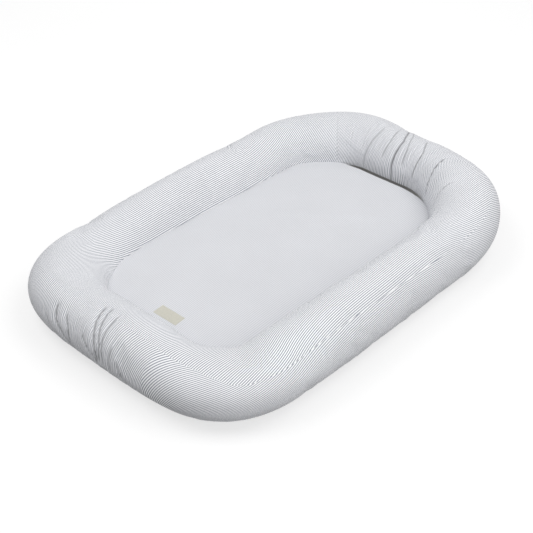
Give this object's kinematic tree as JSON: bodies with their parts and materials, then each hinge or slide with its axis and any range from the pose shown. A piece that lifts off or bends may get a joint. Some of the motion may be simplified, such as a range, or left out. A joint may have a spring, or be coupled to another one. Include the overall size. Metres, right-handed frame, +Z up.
{
  "type": "infant lounger",
  "caption": "Padded infant lounger: a stuffed bolster ring round a thin crowned mat, in a pinstriped cotton cover with a zip along its underside.",
  "frame": {"origin": "on the floor under the middle of the lounger", "axes": "+X towards the head end, which has the tall part of the bolster; +Y towards the left long side of a child lying on its back; +Z up"},
  "size_m": [0.8979, 0.6076, 0.139],
  "materials": {
    "striped_cotton": "plain-woven cotton with fine grey-blue pinstripes, matte",
    "lining_cloth": "thin undyed lining cloth, matte",
    "fibre_filling": "bonded polyester fibre filling, matte",
    "label_cloth": "bare woven label, damask weave with a low sheen",
    "zip_tape": "woven polyester tape, matte",
    "zip_coil": "nylon monofilament, satin",
    "zip_metal": "nickel-plated die casting, satin"
  },
  "bodies": {
    "root": {"bolster_panel": "striped_cotton", "base_panel": "striped_cotton", "center_panel": "striped_cotton", "channel_wall": "lining_cloth", "bolster_core_left": "fibre_filling", "bolster_core_right": "fibre_filling", "mattress_core": "fibre_filling", "woven_label": "label_cloth", "zip_tape_left": "zip_tape", "zip_tape_right": "zip_tape", "zip_coil_left": "zip_coil", "zip_coil_right": "zip_coil", "zip_top_stop_left": "zip_metal", "zip_top_stop_right": "zip_metal", "zip_bottom_stop": "zip_metal"},
    "zip_slider_body": {"zip_slider": "zip_metal"},
    "zip_pull_body": {"zip_pull": "zip_metal"}
  },
  "joints": [
    {"name": "zip_slide", "type": "slide", "parent": "root", "child": "zip_slider_body", "axis": [-1, 0, 0], "range_m": [0, 0.472]},
    {"name": "zip_pull_hinge", "type": "hinge", "parent": "zip_slider_body", "child": "zip_pull_body", "pos_m": [0.2362, 0, 0.004], "axis": [0, -1, 0], "range_deg": [0, 180]}
  ]
}
